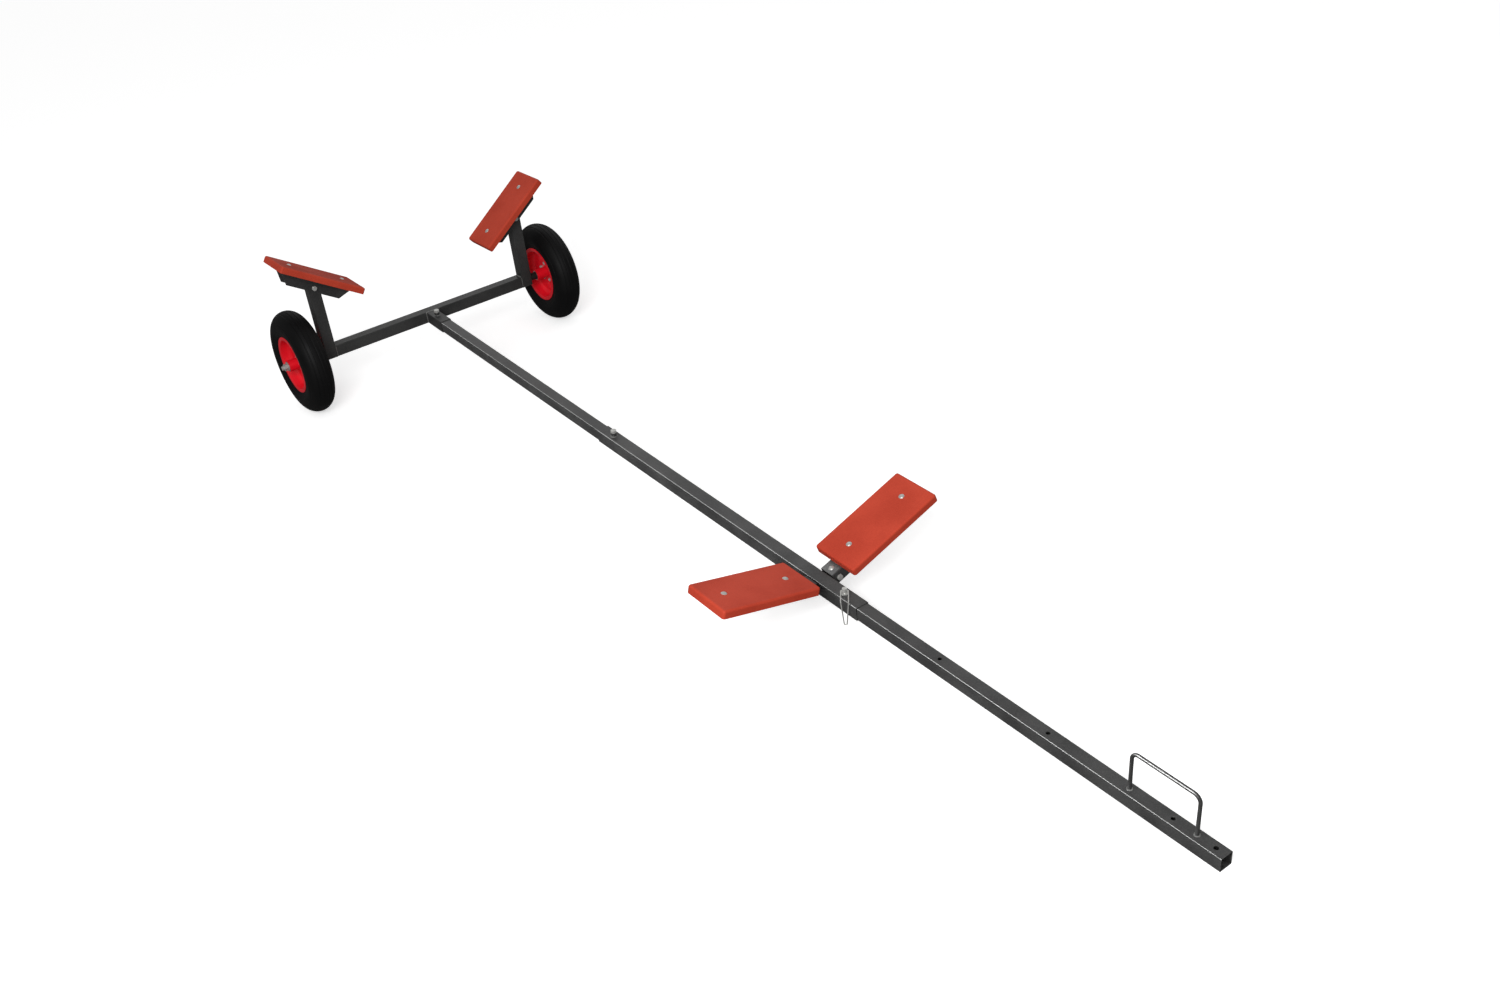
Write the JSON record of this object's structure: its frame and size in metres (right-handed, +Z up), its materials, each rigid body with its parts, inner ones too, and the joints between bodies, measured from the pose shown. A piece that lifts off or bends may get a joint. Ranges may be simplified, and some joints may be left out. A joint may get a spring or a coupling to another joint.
{
  "type": "boat launching trolley",
  "caption": "Hand trolley for launching a small boat: pneumatic wheels, telescoping tube drawbar with a loop handle, and tilting painted boards that cradle the hull.",
  "frame": {"origin": "on the floor, midway along and across the trolley's box", "axes": "+Z up, X across with the left wheel at -X, -Y towards the handle and hitch end"},
  "size_m": [1.251, 4.0567, 0.615],
  "materials": {
    "charcoal_steel": "charcoal powder coat, satin, with worn tube edges",
    "board_red": "brick-red paint over timber, satin",
    "tyre": "black rubber, soft sheen",
    "rubber": "black butyl rubber",
    "rim_red": "bright red gloss paint on pressed steel",
    "hub_black": "black-painted steel spacer",
    "bearing_steel": "ground bearing steel",
    "zinc_steel": "bright zinc plate"
  },
  "bodies": {
    "frame": {"axle_beam": "charcoal_steel", "axle_nuts": "zinc_steel", "axle_spacers": "hub_black", "axle_stubs": "zinc_steel", "axle_washers": "zinc_steel", "clamp_nuts": "charcoal_steel", "clamp_screws": "zinc_steel", "drawbar_front": "charcoal_steel", "drawbar_rear": "charcoal_steel", "drawbar_sleeve": "charcoal_steel", "front_lug_left": "charcoal_steel", "front_lug_right": "charcoal_steel", "front_pivot_bolts": "zinc_steel", "front_pivot_nuts": "zinc_steel", "handle": "charcoal_steel", "rear_pivot_bolts": "zinc_steel", "rear_pivot_nuts": "zinc_steel", "socket_stub": "charcoal_steel", "upright_left": "charcoal_steel", "upright_right": "charcoal_steel"},
    "left_wheel": {"bearings_left": "bearing_steel", "hub_left": "rim_red", "inner_tube_left": "rubber", "rim_bolts_left": "zinc_steel", "rim_inner_left": "rim_red", "rim_nuts_left": "zinc_steel", "rim_outer_left": "rim_red", "tyre_left": "tyre", "valve_stem_left": "rubber"},
    "right_wheel": {"bearings_right": "bearing_steel", "hub_right": "rim_red", "inner_tube_right": "rubber", "rim_bolts_right": "zinc_steel", "rim_inner_right": "rim_red", "rim_nuts_right": "zinc_steel", "rim_outer_right": "rim_red", "tyre_right": "tyre", "valve_stem_right": "rubber"},
    "rear_left_bolster": {"board_bolts_rear_left": "zinc_steel", "board_nuts_rear_left": "zinc_steel", "board_rear_left": "board_red", "bracket_rear_left": "charcoal_steel"},
    "rear_right_bolster": {"board_bolts_rear_right": "zinc_steel", "board_nuts_rear_right": "zinc_steel", "board_rear_right": "board_red", "bracket_rear_right": "charcoal_steel"},
    "front_left_bolster": {"board_bolts_front_left": "zinc_steel", "board_front_left": "board_red", "board_nuts_front_left": "zinc_steel", "bracket_front_left": "charcoal_steel"},
    "front_right_bolster": {"board_bolts_front_right": "zinc_steel", "board_front_right": "board_red", "board_nuts_front_right": "zinc_steel", "bracket_front_right": "charcoal_steel"},
    "lock_pin_body": {"lock_pin": "zinc_steel"},
    "lock_bail_body": {"lock_bail": "zinc_steel"}
  },
  "joints": [
    {"name": "left_wheel_spin", "type": "hinge", "parent": "frame", "child": "left_wheel", "pos_m": [-0.543, 1.82837, 0.2], "axis": [1, 0, 0], "continuous": true},
    {"name": "right_wheel_spin", "type": "hinge", "parent": "frame", "child": "right_wheel", "pos_m": [0.543, 1.82837, 0.2], "axis": [1, 0, 0], "continuous": true},
    {"name": "rear_left_tilt", "type": "hinge", "parent": "frame", "child": "rear_left_bolster", "pos_m": [-0.433, 1.82837, 0.47], "axis": [0, 1, 0], "range_deg": [-53, 27]},
    {"name": "rear_right_tilt", "type": "hinge", "parent": "frame", "child": "rear_right_bolster", "pos_m": [0.433, 1.82837, 0.47], "axis": [0, -1, 0], "range_deg": [-57, 23]},
    {"name": "front_left_tilt", "type": "hinge", "parent": "frame", "child": "front_left_bolster", "pos_m": [-0.052, -0.60131, 0.09357], "axis": [0, 0.9989, 0.0466], "range_deg": [-15, 25]},
    {"name": "front_right_tilt", "type": "hinge", "parent": "frame", "child": "front_right_bolster", "pos_m": [0.052, -0.60131, 0.09357], "axis": [0, -0.9989, -0.0466], "range_deg": [-19, 21]},
    {"name": "lock_pin_lift", "type": "slide", "parent": "frame", "child": "lock_pin_body", "axis": [0, -0.0466, 0.9989], "range_m": [0, 0.075]},
    {"name": "lock_bail_swing", "type": "hinge", "parent": "lock_pin_body", "child": "lock_bail_body", "pos_m": [0, -0.71538, 0.11377], "axis": [-0.766, 0.6421, 0.03], "range_deg": [0, 110]}
  ]
}
